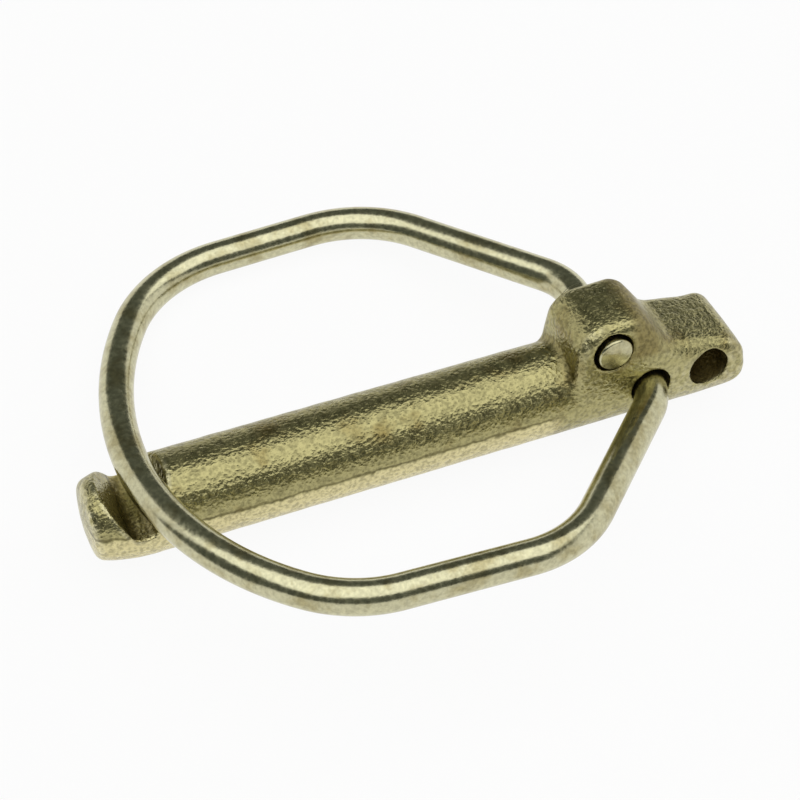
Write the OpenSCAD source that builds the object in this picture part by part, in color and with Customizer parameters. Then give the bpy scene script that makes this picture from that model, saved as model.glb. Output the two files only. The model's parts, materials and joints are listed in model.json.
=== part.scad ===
// Lynch pin: a forged steel pin whose sprung wire ring closes into a groove near the tip.
// The pin lies along X with its tip towards -X and its head towards +X. The origin is on the
// shaft's axis, in the plane of the head's shoulder. The pin is shown as it comes to rest on a flat
// floor: rolled about its own axis until the ring's rear side touches the floor too.

/* [Shaft] */
// Diameter of the shaft
shaft_d = 10; // [8:0.1:12.5]
// Length from the shoulder to the end of the tip
shaft_len = 51.2; // [42:0.1:65]
// Length of the tip's taper
tip_len = 5.2; // [4:0.1:7]
// Diameter at the end of the taper, as a share of the shaft's
tip_share = 0.85; // [0.75:0.01:0.92]
// Radius of the tip's rounded edge
tip_edge_r = 1.1; // [0.7:0.1:1.5]
// Relief on the radius of the forging outside the plain length of the shaft
relief = 0.25; // [0.22:0.01:0.35]
// Length of the eased corner between the shaft and the shoulder
shoulder_ease = 0.4; // [0.3:0.1:1.2]

/* [Ring groove] */
// Distance from the end of the tip to the groove's flat floor
groove_from_tip = 4.2; // [3.6:0.1:5.2]
// Width of the groove's flat floor
groove_floor_w = 1.85; // [1.4:0.05:2.4]
// Height of the floor above the shaft's axis
groove_floor_h = 0.3; // [0.2:0.05:1.2]
// Lean of the groove's two flanks from upright
groove_flank = 30; // [26:1:34]

/* [Head] */
// Length of the head, from the shoulder to its end
head_len = 20.8; // [19.5:0.1:25]
// Length of the tall plateau
tall_len = 8; // [6.8:0.1:9.6]
// Height of the tall plateau above the shaft's surface
tall_rise = 5.4; // [4.4:0.1:6.5]
// Drop of the low plateau below the shaft's surface
low_drop = 0.4; // [0:0.1:0.8]
// Slope between the two plateaus
step_slope = 49; // [42:1:56]
// Draft of the forged side faces
draft = 5; // [3:0.5:7]
// Radius of the forged edges
edge_r = 1.2; // [0.8:0.1:1.5]
// Radius of the head's nose
nose_r = 3.4; // [2.6:0.1:4]
// Radius of the fillet in the step
step_r = 1.6; // [1:0.1:2.2]

/* [Cross holes] */
// Clearance of the wire in its holes, on the diameter
hole_clear = 0.85; // [0.6:0.05:1]
// Distance from the shoulder to the upper ring hole
upper_hole_x = 4.8; // [4.4:0.1:5.8]
// Height of the upper ring hole above the shaft's surface
upper_hole_rise = 1.9; // [1.6:0.1:2.3]
// Distance from the shoulder to the lower ring hole
lower_hole_x = 9.35; // [8.9:0.05:10.5]
// Height of the lower ring hole above the axis
lower_hole_h = 0.85; // [0.4:0.05:1.2]
// Distance from the shoulder to the free hole
free_hole_x = 16.15; // [15.6:0.05:17]
// Height of the free hole above the axis
free_hole_h = 1.15; // [0.6:0.05:1.4]

/* [Ring] */
// Diameter of the spring wire
wire_d = 3.6; // [3:0.1:4.4]
// Width of the ring, between the centre lines of its two sides
ring_w = 49.8; // [41:0.1:60]
// Shift of the ring along its holes
ring_shift = 2.15; // [0:0.05:2.6]
// Depth of the ring's rounded far end
far_depth = 16.8; // [15.6:0.1:18.5]
// Radius of the far end's two corners
far_corner_r = 14; // [12.6:0.1:14.6]
// Radius of the bends between the sides and the legs
side_bend_r = 13; // [10.5:0.1:14]
// Radius of the bends at the head
head_bend_r = 6.6; // [5.6:0.1:7.8]
// Distance from the head's rear face out to the corner where the rear leg sets off
rear_out = 2.75; // [2.5:0.05:3.6]
// Distance from the head's front face out to the corner where the front leg sets off
front_out = 0.95; // [0.7:0.05:1.6]
// Distance behind the shoulder at which the rear leg meets its side
rear_corner_x = 10.7; // [9.5:0.1:12.8]
// Distance behind the shoulder at which the front leg meets its side
front_corner_x = 7.6; // [6.5:0.1:9]
// Gap between the wire and the groove's flank
seat_gap = 0.1; // [0.08:0.01:0.3]

/* [Hidden] */
$fn = 64;
shaft_r = shaft_d / 2;
wire_r = wire_d / 2;
hole_d = wire_d + hole_clear;

// Groove: x of the floor's two edges, and the flank's run from floor height to height z
floor_tip_x = -shaft_len + groove_from_tip;
floor_head_x = floor_tip_x + groove_floor_w;
function flank_run(z) = (z - groove_floor_h) * tan(groove_flank);
// End of the shaft's plain length, just short of the groove's mouth
plain_end = -(floor_head_x + flank_run(shaft_r)) - 0.1;

// Head heights and the points of its side profile
tall_h = shaft_r + tall_rise;
low_h = shaft_r - low_drop;
step_run = (tall_h - low_h) / tan(step_slope);
upper_hole_h = shaft_r + upper_hole_rise;
// Distance behind the ring's plane of swing at which the tail in the upper hole stops: it is clear
// of the whole rear face of the head, so the ring can pass over it
head_back = shaft_r + 0.06;

half_w = ring_w / 2;
// Length taken off each length of wire where it meets the next one
trim = 0.05;

// Far end: a corner arc, then a larger arc that is tangent to it and square to the pin at the end
far_end_r = (far_depth * far_depth + half_w * half_w - 2 * half_w * far_corner_r)
    / (2 * (far_depth - far_corner_r));
far_turn = atan2(half_w - far_corner_r, far_end_r - far_depth);

// The far end curves towards the head as it crosses the groove, by this much at the groove's ends
far_sag = pow(ring_shift + shaft_r * 0.7, 2) / (2 * far_end_r);
// The wire's centre at the far end of the closed ring: it rests on the groove's head-side flank
apex_x = floor_head_x - 0.05;
apex_z = groove_floor_h
    + ((wire_r + seat_gap) / cos(groove_flank) + far_sag - 0.05) / tan(groove_flank);

// Each half of the ring is flat, in a plane that holds its own hole's axis and the far end's tangent
rear_len = norm([upper_hole_x - apex_x, upper_hole_h - apex_z]);
front_len = norm([lower_hole_x - apex_x, lower_hole_h - apex_z]);
rear_tilt = atan2(upper_hole_h - apex_z, upper_hole_x - apex_x);
front_tilt = atan2(lower_hole_h - apex_z, lower_hole_x - apex_x);
// In that plane, distance from the hole's axis to where the leg meets the side
rear_corner = (rear_corner_x + upper_hole_x) / cos(rear_tilt);
front_corner = (front_corner_x + lower_hole_x) / cos(front_tilt);
// From the ring's centre line to the corner of each leg
rear_pivot = shaft_r + rear_out - ring_shift;
front_pivot = shaft_r + front_out + ring_shift;
// The wire starts at these distances from the ring's centre line
rear_start = head_back + 0.05 - ring_shift;
front_start = ring_shift - shaft_r * 0.7;

// Depth inside the head's face at which a bend of radius r may start and still clear the hole's rim
function bend_depth(r) =
    let (cosine = (r - hole_d / 2 + 0.07) / (r - wire_r)) (r - wire_r) * sqrt(1 - cosine * cosine);
// The largest radius, up to r, of a bend through turn whose corner is out from the head's face
function bend_fit(turn, out, r) =
    r < wire_r * 1.5 || r * tan(turn / 2) - out <= bend_depth(r) ? r : bend_fit(turn, out, r - 0.1);

// Direction of the leg, then the length that each bend takes along its two straights: a bend
// tightens where there is no room for its radius
function leg_turn(pivot, corner) = atan2(half_w - pivot, -corner);
function head_bend_t(y0, pivot, corner, out) = let (turn = leg_turn(pivot, corner) - 90)
    min(bend_fit(turn, out, head_bend_r) * tan(turn / 2), pivot - y0 - 0.18);
function side_bend_t(y0, pivot, corner, out) =
    min(side_bend_r * tan((180 - leg_turn(pivot, corner)) / 2),
        norm([corner, half_w - pivot]) - head_bend_t(y0, pivot, corner, out) - 0.5);

// Roll at which the pin comes to rest, on the shaft and on the ring's rear side: the least over the
// points of that side's far corner
rest_roll = -min([for (i = [0:24]) let (
    a = 84 + i * 2,
    x = -rear_len + far_depth + far_corner_r * cos(a),
    y = half_w - far_corner_r + far_corner_r * sin(a) + ring_shift,
    z = upper_hole_h + x * sin(rear_tilt)
) atan2(z, y) + asin((shaft_r - wire_r - 0.02) / norm([y, z]))]);

// Points of an arc about c, from angle a0 to a1
function arc(c, r, a0, a1, n = 8) =
    [for (i = [0:n]) let (a = a0 + (a1 - a0) * i / n) [c[0] + r * cos(a), c[1] + r * sin(a)]];

// Turns a shape drawn in X and Y to stand in X and Z, centred on Y
module upright(width) {
    rotate([90, 0, 0])
        linear_extrude(height = width, center = true)
            children();
}

// Lays the pin in its resting roll
module at_rest() {
    rotate([rest_roll, 0, 0]) children();
}

// A cross hole through the head, square to the shaft
module cross_hole(x, h, d) {
    translate([x, 0, h])
        rotate([90, 0, 0])
            cylinder(d = d, h = shaft_d * 1.6, center = true);
}

// Shaft with its tapered, rounded tip, turned about X. Its plain length runs from the eased corner
// to the groove, and the forging is a little smaller beyond each end of it.
module shaft() {
    tip_r = shaft_r * tip_share;
    edge_c = [tip_r - tip_edge_r, shaft_len - tip_edge_r - 0.2];
    profile = concat(
        [[0, -2], [shaft_r - relief, -2], [shaft_r - relief, shoulder_ease],
            [shaft_r, shoulder_ease], [shaft_r, plain_end], [shaft_r - relief, plain_end],
            [shaft_r - relief, shaft_len - tip_len],
            [(shaft_r * 2 + tip_r) / 3 - 0.08, shaft_len - tip_len * 0.55]],
        arc(edge_c, tip_edge_r, 10, 80, 6),
        [[0, shaft_len]]
    );
    rotate([0, -90, 0])
        rotate_extrude()
            polygon(profile);
}

// Cross section of the head, in Y and Z: the shaft's round below, drafted sides above. Under the
// sides a straight runs down to where it meets the round all but tangent.
module head_section(top) {
    low = shaft_r * 0.2;
    round_r = shaft_r - relief;
    side = function (z) (shaft_r / cos(draft) - z * tan(draft)) * 0.9995;
    edge = arc([side(top) - edge_r, top - edge_r], edge_r, draft, 90, 5);
    foot_a = acos(round_r / norm([side(low), low])) - atan2(low, side(low));
    foot = (round_r - 0.01) * [cos(foot_a), -sin(foot_a)];
    half = concat([foot, [side(low), low]], edge);
    polygon(concat(half, [for (i = [len(half) - 1:-1:0]) [-half[i][0], half[i][1]]]));
    circle(r = round_r);
}

// Eased corner under the shoulder: a cone, kept within the head's own outline
module shoulder_corner() {
    intersection() {
        rotate([0, 90, 0])
            translate([0, 0, -shoulder_ease])
                cylinder(r1 = shaft_r - relief, r2 = shaft_r + shoulder_ease, h = shoulder_ease + 0.1);
        translate([-shoulder_ease - 0.1, 0, 0])
            along_head(tall_h);
    }
}

module along_head(top) {
    rotate([90, 0, 90])
        linear_extrude(height = head_len)
            head_section(top);
}

// Side profile of the head, in X and Z, cut to the low plateau or the tall one
module low_profile() {
    polygon(concat(
        [[0, -shaft_d]],
        [[head_len - nose_r * 1.1, -shaft_d]],
        [[head_len - nose_r * 1.1, -shaft_r]],
        arc([head_len - nose_r, -shaft_r * 0.1 - nose_r * 0.1], nose_r, -62, 0, 6),
        arc([head_len - nose_r, low_h - nose_r - 0.2], nose_r, 8, 78, 6),
        [[tall_len + step_run, low_h], [tall_len + step_run, shaft_d * 2], [0, shaft_d * 2]]
    ));
}

module tall_profile() {
    // The fillet in the step is tangent to the slope and to the low plateau
    reach = step_r * tan(step_slope / 2);
    foot = [tall_len + step_run + reach, low_h + step_r];
    polygon(concat(
        [[0, 0]],
        arc([edge_r, tall_h - edge_r], edge_r, 180, 90, 5),
        [[tall_len - 0.8, tall_h - 0.25]],
        [[tall_len + 0.5, tall_h - 0.25 - 0.9]],
        arc(foot, step_r, 270 - step_slope, 270, 6),
        [[foot[0], 0]]
    ));
}

module groove() {
    top = shaft_d;
    upright(shaft_d * 1.4)
        polygon([
            [floor_tip_x, groove_floor_h], [floor_head_x, groove_floor_h],
            [floor_head_x + flank_run(top), top], [floor_tip_x - flank_run(top), top]
        ]);
}

module pin() {
    color("#a59a5c")
        at_rest()
            difference() {
                union() {
                    shaft();
                    shoulder_corner();
                    intersection() {
                        along_head(low_h);
                        upright(shaft_d * 2) low_profile();
                    }
                    intersection() {
                        along_head(tall_h);
                        upright(shaft_d * 2) tall_profile();
                    }
                }
                groove();
                cross_hole(upper_hole_x, upper_hole_h, hole_d);
                cross_hole(lower_hole_x, lower_hole_h, hole_d);
                cross_hole(free_hole_x, free_hole_h, hole_d);
            }
}

// Straight wire from a to b, two points in a half's own plane, trimmed by start and by trim
module wire_line(a, b, start = trim) {
    d = b - a;
    translate([a[0], a[1], 0])
        rotate([0, 0, atan2(d[1], d[0])])
            translate([start, 0, 0])
                rotate([0, 90, 0])
                    cylinder(r = wire_r, h = norm(d) - start - trim);
}

// Bent wire about c, from angle a0 through the turn, trimmed at both ends
module wire_arc(c, r, a0, turn) {
    cut = trim / r * 180 / PI;
    translate([c[0], c[1], 0])
        rotate([0, 0, a0 + cut])
            rotate_extrude(angle = turn - 2 * cut)
                translate([r, 0])
                    circle(r = wire_r);
}

// Short collar across the trimmed gap between two lengths of wire that both run in direction a
module wire_joint(p, a) {
    translate([p[0], p[1], 0])
        rotate([0, 0, a])
            rotate([0, 90, 0])
                cylinder(r = wire_r + 0.02, h = trim * 6, center = true);
}

// One half of the ring in its own plane: X runs from the hole's axis (0) back to the far end (-len),
// Y runs out from the ring's centre line. The wire starts at y0 on the hole's axis.
module half_ring(len, y0, pivot, corner_x, out) {
    bend = [0, pivot];
    corner = [-corner_x, half_w];
    leg = corner - bend;
    leg_a = leg_turn(pivot, corner_x);
    u = leg / norm(leg);
    // Turns from the hole's axis to the leg and from the leg to the side
    turn1 = leg_a - 90;
    turn2 = 180 - leg_a;
    t1 = head_bend_t(y0, pivot, corner_x, out);
    t2 = side_bend_t(y0, pivot, corner_x, out);
    r1 = t1 / tan(turn1 / 2);
    r2 = t2 / tan(turn2 / 2);
    p1 = [0, pivot - t1];
    p2 = bend + u * t1;
    p3 = corner - u * t2;
    p4 = [-corner_x - t2, half_w];
    p5 = [-len + far_depth, half_w];
    far_c = [-len + far_end_r, 0];
    p6 = far_c + far_end_r * [-cos(far_turn), sin(far_turn)];
    wire_line([0, y0], p1, 0);
    wire_arc([-r1, p1[1]], r1, 0, turn1);
    wire_line(p2, p3);
    wire_arc([p4[0], half_w - r2], r2, leg_a - 90, turn2);
    wire_line(p4, p5);
    wire_arc([p5[0], half_w - far_corner_r], far_corner_r, 90, 90 - far_turn);
    wire_arc(far_c, far_end_r, 180 - far_turn, far_turn);
    joints = [[p1, 90], [p2, leg_a], [p3, leg_a], [p4, 180], [p5, 180],
        [p6, 270 - far_turn], [[-len, 0], 270]];
    for (j = joints) wire_joint(j[0], j[1]);
}

module ring() {
    color("#b9b48a")
        at_rest()
            translate([0, ring_shift, 0]) {
                // Rear half: its wire ends just behind the head, in line with the tail in the hole
                translate([upper_hole_x, 0, upper_hole_h])
                    rotate([0, -rear_tilt, 0])
                        half_ring(rear_len, rear_start, rear_pivot, rear_corner, rear_out);
                // Front half: its wire goes into the lower hole
                translate([lower_hole_x, 0, lower_hole_h])
                    rotate([0, -front_tilt, 0])
                        mirror([0, 1, 0])
                            half_ring(front_len, front_start, front_pivot, front_corner, front_out);
            }
}

// The wire's rear end, which fills the upper hole and shows in the head's front face
module ring_tail() {
    front = shaft_r / cos(draft) - upper_hole_h * tan(draft) + 0.25;
    color("#b9b48a")
        at_rest()
            translate([upper_hole_x, head_back, upper_hole_h])
                rotate([90, 0, 0]) {
                    cylinder(r = wire_r, h = front + head_back - 0.4);
                    translate([0, 0, front + head_back - 0.4])
                        cylinder(r1 = wire_r, r2 = wire_r - 0.4, h = 0.4);
                }
}

pin();
ring();
ring_tail();
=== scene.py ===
"""Lynch pin: the finished look of a zinc-plated forged pin and its sprung wire ring.

Lengths in the shape functions are millimetres in the pin's own frame: X along the pin towards the
head, Z up through the head. lay_down() rolls that frame to the pin's resting pose and turns
millimetres to metres.
"""

import json
import math

import bpy
import numpy as np
from mathutils import Matrix, Vector


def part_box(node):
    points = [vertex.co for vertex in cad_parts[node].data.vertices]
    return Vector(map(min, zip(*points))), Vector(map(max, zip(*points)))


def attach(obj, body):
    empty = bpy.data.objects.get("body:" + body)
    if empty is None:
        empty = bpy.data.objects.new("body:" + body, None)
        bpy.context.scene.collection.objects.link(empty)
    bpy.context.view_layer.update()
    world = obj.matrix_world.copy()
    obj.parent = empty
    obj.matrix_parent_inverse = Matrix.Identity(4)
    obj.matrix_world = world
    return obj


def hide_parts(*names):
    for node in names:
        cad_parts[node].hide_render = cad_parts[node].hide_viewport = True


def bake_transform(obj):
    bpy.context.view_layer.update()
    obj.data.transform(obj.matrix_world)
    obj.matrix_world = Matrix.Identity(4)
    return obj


bl_info = {
    "name": "Lynch Pin",
    "version": (1, 0, 0),
    "blender": (4, 5, 0),
    "location": "View3D > Sidebar > Lynch Pin",
    "description": "Builds a forged lynch pin with its sprung wire ring",
    "category": "Add Mesh",
}

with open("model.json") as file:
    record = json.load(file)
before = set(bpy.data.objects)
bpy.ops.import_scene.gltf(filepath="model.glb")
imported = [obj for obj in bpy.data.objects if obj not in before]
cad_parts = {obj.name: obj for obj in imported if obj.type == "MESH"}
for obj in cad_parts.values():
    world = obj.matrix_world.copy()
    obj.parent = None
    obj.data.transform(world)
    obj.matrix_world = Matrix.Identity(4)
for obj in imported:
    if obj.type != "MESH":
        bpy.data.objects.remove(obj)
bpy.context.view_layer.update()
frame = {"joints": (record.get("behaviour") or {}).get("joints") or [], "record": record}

MM = 0.001
JOINTS = {joint["name"]: joint for joint in frame["joints"]}
MOUNTS = {mount["name"]: mount for mount in frame["record"]["mounts"]}

# The pin lies rolled about its own axis: the hinge's axis gives the angle
HINGE_AXIS = JOINTS["ring_swing"]["axis"]
ROLL = math.atan2(HINGE_AXIS[2], HINGE_AXIS[1])
FLOOR_Z = float(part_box("pin")[0].z)


def lay_down(points):
    """Rolls points in mm about X by ROLL and turns them to metres: y' = y cos - z sin,
    z' = y sin + z cos."""
    points = np.asarray(points, float)
    c, s = math.cos(ROLL), math.sin(ROLL)
    x, y, z = points[..., 0], points[..., 1], points[..., 2]
    return np.stack([x, y * c - z * s, y * s + z * c], axis=-1) * MM


def stand_up(point):
    """The reverse of lay_down: a place in the frame, in metres, to mm in the pin's own frame."""
    x, y, z = (float(v) / MM for v in point)
    c, s = math.cos(ROLL), math.sin(ROLL)
    return np.array([x, y * c + z * s, -y * s + z * c])


# Centres of the three cross holes and both radii, from the joints and mounts, then the pin's two
# ends along X, from its box
UPPER_HOLE = stand_up(JOINTS["ring_tail_turn"]["pos_m"])
LOWER_HOLE = stand_up(JOINTS["ring_swing"]["pos_m"])
FREE_HOLE = stand_up(MOUNTS["free_hole"]["pos_m"])
HOLES = (UPPER_HOLE, LOWER_HOLE, FREE_HOLE)
SHAFT_R = MOUNTS["shaft"]["dims"]["r_mm"]
HOLE_R = MOUNTS["free_hole"]["dims"]["r_mm"]
PIN_END = float(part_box("pin")[0].x) / MM
HEAD_END = float(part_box("pin")[1].x) / MM


# ---------------------------------------------------------------- sizes and finishes


def length(name, default, description):
    """A length that a user may change, kept in metres."""
    return bpy.props.FloatProperty(
        name=name,
        description=description,
        default=default * MM,
        min=0.0,
        precision=5,
        unit="LENGTH",
        subtype="DISTANCE",
    )


def hex_values(code):
    """A hex code's red, green and blue, from 0 to 1."""
    return tuple(int(code[i : i + 2], 16) / 255 for i in (0, 2, 4))


def colour(name, code, description):
    """An sRGB colour that a user may change, from its hex code."""
    return bpy.props.FloatVectorProperty(
        name=name,
        description=description,
        default=hex_values(code),
        size=3,
        min=0.0,
        max=1.0,
        subtype="COLOR_GAMMA",
    )


class LynchPinForging(bpy.types.PropertyGroup):
    """Sizes of the forging that its dies and its trimming give it"""

    edge_r: length("Forged edge radius", 1.2, "Radius of the head's outer edges")
    shoulder_r: length("Shoulder fillet", 0.7, "Fillet between the shaft and the head")
    step_r: length("Step fillet", 0.6, "Fillet at the foot of the head's step")
    rim_r: length("Hole rim radius", 0.22, "Rounding of the drilled holes' rims")
    groove_r: length("Groove corner radius", 0.45, "Fillet at each side of the groove's floor")
    lump_height: length("Lump height", 0.035, "Height of the forged surface's uneven lumps")
    mesh_size: length("Mesh size", 0.2, "Edge length of the forging's mesh")


class LynchPinRing(bpy.types.PropertyGroup):
    """Sizes of the bent spring wire"""

    wire_d: length("Wire diameter", 3.6, "Diameter of the spring wire")
    ring_w: length("Ring width", 49.8, "Width between the centre lines of the ring's two sides")
    ring_shift: length("Ring shift", 2.15, "How far the ring sits along its holes")
    rear_end_r: length("Rear far end", 34.0, "Radius of the far end's rear half")
    front_end_r: length("Front far end", 28.0, "Radius of the far end's front half")
    far_corner_r: length("Far corner radius", 14.0, "Radius from the far end to each side")
    rear_bend_r: length("Rear side bend", 13.9, "Radius of the bend from the rear leg to its side")
    front_bend_r: length(
        "Front side bend", 12.5, "Radius of the bend from the front leg to its side"
    )
    head_bend_r: length("Head bend", 6.6, "Radius of the two bends at the head")
    rear_out: length(
        "Rear stand-off", 2.75, "From the head's rear face out to the rear leg's corner"
    )
    front_out: length(
        "Front stand-off", 0.95, "From the head's front face out to the front leg's corner"
    )
    rear_corner_x: length(
        "Rear corner", 10.7, "Behind the shoulder, where the rear leg meets its side"
    )
    front_corner_x: length(
        "Front corner", 7.6, "Behind the shoulder, where the front leg meets its side"
    )
    apex_z: length(
        "Far end height", 4.768, "Height of the wire's centre where it lies in the groove"
    )


class LynchPinFinish(bpy.types.PropertyGroup):
    """Colours of the yellow-passivated zinc"""

    zinc: colour("Blasted zinc", "A69F70", "Passivated zinc on the blasted forging")
    # Pale strip under the parting line: partly the trimmed zinc, partly a painted reflection of the
    # floor
    zinc_trim: colour("Trimmed zinc", "DDD2A0", "Pale strip that trimming the flash has left")
    # Paler random high spots, and the pale edges: partly rubbed, partly a painted highlight
    zinc_light: colour("Worn zinc", "DCD6B2", "Rubbed edges and high spots of the forging")
    zinc_line: colour("Parting line", "4A4226", "The line where the forging dies met")
    # Darker random tone, and painted shade in corners, holes, the groove and beside the step
    zinc_deep: colour("Deep zinc", "87794A", "Passivation that gathers in corners and holes")
    wire: colour("Wire zinc", "C9C5A2", "Passivated zinc on the drawn wire")
    wire_deep: colour("Wire stain", "AFA77F", "Darker stain along the wire")
    floor: colour("Floor", "F8F8F6", "Colour of the pale floor")


# ---------------------------------------------------------------- mesh and shape helpers


def sizes(group):
    """A property group's lengths in mm, by name."""
    names = [p.identifier for p in group.bl_rna.properties if p.type == "FLOAT" and not p.is_array]
    return {name: getattr(group, name) / MM for name in names}


def grid_faces(rows, columns):
    """Quads of a grid of rows by columns points whose columns close on themselves."""
    i, j = np.meshgrid(np.arange(rows - 1), np.arange(columns), indexing="ij")
    nxt = (j + 1) % columns
    a, b = i * columns + j, i * columns + nxt
    return np.stack([a, b, b + columns, a + columns], axis=-1).reshape(-1, 4)


def end_fans(first_row, last_row, first_pole, last_pole):
    """Triangles that close both ends of such a grid at a pole."""

    def fan(row, pole, turned):
        """Triangles from one row to its pole, wound the other way where turned."""
        nxt = np.roll(row, -1)
        pair = (nxt, row) if turned else (row, nxt)
        return np.stack([np.full_like(row, pole), *pair], axis=-1)

    return fan(first_row, first_pole, True), fan(last_row, last_pole, False)


def closed_mesh(name, rings, start_pole, end_pole, flip=False):
    """A mesh from rings of points, rows by columns by 3, with a pole at each end."""
    rows, columns, _ = rings.shape
    points = np.concatenate([rings.reshape(-1, 3), [start_pole], [end_pole]])
    quads = grid_faces(rows, columns)
    count = rows * columns
    first, last = end_fans(
        np.arange(columns), np.arange(count - columns, count), count, count + 1
    )
    if flip:
        quads, first, last = quads[:, ::-1], first[:, ::-1], last[:, ::-1]
    loops = np.concatenate([quads.ravel(), first.ravel(), last.ravel()])
    totals = np.concatenate([np.full(len(quads), 4), np.full(2 * columns, 3)])
    starts = np.concatenate([[0], np.cumsum(totals)[:-1]])
    mesh = bpy.data.meshes.new(name)
    mesh.vertices.add(len(points))
    mesh.vertices.foreach_set("co", points.astype(np.float32).ravel())
    mesh.loops.add(len(loops))
    mesh.loops.foreach_set("vertex_index", loops.astype(np.int32))
    mesh.polygons.add(len(totals))
    mesh.polygons.foreach_set("loop_start", starts.astype(np.int32))
    mesh.polygons.foreach_set("loop_total", totals.astype(np.int32))
    # The end faces are flat, which keeps their edge crisp; the rest is smooth
    mesh.polygons.foreach_set("use_smooth", totals == 4)
    mesh.update(calc_edges=True)
    mesh.validate()
    return mesh


def add_object(name, mesh):
    """Links a mesh to the scene as an object at the origin."""
    obj = bpy.data.objects.new(name, mesh)
    bpy.context.scene.collection.objects.link(obj)
    return obj


def points_of(mesh):
    """A mesh's points as an array."""
    co = np.empty(len(mesh.vertices) * 3, np.float32)
    mesh.vertices.foreach_get("co", co)
    return co.reshape(-1, 3).astype(float)


def put_points(mesh, points):
    """Gives a mesh's points new places."""
    mesh.vertices.foreach_set("co", np.asarray(points, np.float32).ravel())
    mesh.update()


def point_value(mesh, name, values):
    """Stores one number per point, for a material to read."""
    mesh.attributes.new(name, "FLOAT", "POINT").data.foreach_set(
        "value", np.asarray(values, np.float32)
    )


def both(a, b, r):
    """Where two solids overlap, with the edge between them rounded to radius r. Each solid is its
    distance to the surface, negative inside: max(a, b), with a quarter circle in the corner."""
    corner = np.hypot(np.maximum(a + r, 0), np.maximum(b + r, 0))
    return np.minimum(-r, np.maximum(a, b)) + corner


def either(a, b, r):
    """Two solids joined, with a fillet of radius r between them."""
    corner = np.hypot(np.maximum(r - a, 0), np.maximum(r - b, 0))
    return np.maximum(r, np.minimum(a, b)) - corner


def ramp(x, low, high):
    """0 below low, 1 above high, and a smooth S between them."""
    t = np.clip((x - low) / (high - low), 0, 1)
    return t * t * (3 - 2 * t)


# Random numbers along each side of the noise's lattice, which repeats past them, and a shift that
# keeps the cells' numbers above 0
LATTICE = 32
LATTICE_SHIFT = 1000.0


def soft_noise(points, size, seed):
    """Lumps about size apart, from -1 to 1: random numbers on a cubic lattice, blended smoothly
    between the eight corners of each cell."""
    rng = np.random.default_rng(seed)
    lattice = rng.uniform(-1, 1, (LATTICE, LATTICE, LATTICE))
    q = points / size + LATTICE_SHIFT
    cell = np.floor(q).astype(int)
    t = q - cell
    t = t * t * (3 - 2 * t)
    total = 0.0
    for dx in (0, 1):
        for dy in (0, 1):
            for dz in (0, 1):
                corner = lattice[
                    (cell[:, 0] + dx) % LATTICE,
                    (cell[:, 1] + dy) % LATTICE,
                    (cell[:, 2] + dz) % LATTICE,
                ]
                weight = (
                    (t[:, 0] if dx else 1 - t[:, 0])
                    * (t[:, 1] if dy else 1 - t[:, 1])
                    * (t[:, 2] if dz else 1 - t[:, 2])
                )
                total = total + corner * weight
    return total


# ---------------------------------------------------------------- the forging's shape

# Leans from upright: the head's sides, its end and shoulder, and the groove's two sides
DRAFT = math.radians(5)
END_DRAFT = math.radians(7)
FLANK = math.radians(30)
# Lean from level of the face between the two plateaus
SLOPE = math.radians(54)

# The groove's two sides along X, where they meet its floor, the floor's height and the radius of
# the groove's rim
GROOVE_TIP_X, GROOVE_HEAD_X, GROOVE_FLOOR_Z = -47.0, -45.15, 0.3
GROOVE_RIM_R = 0.3

# The tip: where its taper starts, the taper's depth 1 mm past that, the power it grows by, and the
# sphere at its end, which starts 0.02 past the CAD's end because the lumps' allowance comes off
TAPER_START_X, TAPER_DEPTH, TAPER_POWER = -44.0, 0.00717, 2.59
DOME_R, DOME_CENTRE_X = 16.0, PIN_END + 15.98
TIP_EDGE_R = 0.5
# The shaft's other end, hidden inside the head
SHAFT_STOP_X = 2.5

# Each plateau's height at a place along X and its slope along X, then how far the face between
# them and the plane under the nose lie from the pin's origin, and that plane's direction
TALL_TOP_Z, TALL_TOP_X, TALL_TOP_RISE = 10.02, 4.0, 0.04
LOW_TOP_Z, LOW_TOP_X, LOW_TOP_FALL = 5.13, 13, 0.23
SLOPE_REACH, NOSE_REACH = 12.79, 12.86
NOSE_X, NOSE_Z = 0.515, 0.857
# Radii of the tall plateau's two crests, the end's top edge and the edge under the nose
CREST_R, SHOULDER_CREST_R, END_EDGE_R, NOSE_EDGE_R = 1.0, 2.6, 1.7, 1.6


def tip_and_shaft(x, y, z):
    """The shaft: a cylinder whose radius shrinks ever faster past the taper's start, as the
    distance from there to a power, met by a sphere that domes the tip's end."""
    rho = np.hypot(y, z)
    barrel = rho - SHAFT_R + TAPER_DEPTH * np.maximum(TAPER_START_X - x, 0) ** TAPER_POWER
    dome = np.hypot(np.minimum(x - DOME_CENTRE_X, 0), rho) - DOME_R
    return both(both(barrel, dome, TIP_EDGE_R), x - SHAFT_STOP_X, TIP_EDGE_R)


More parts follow.
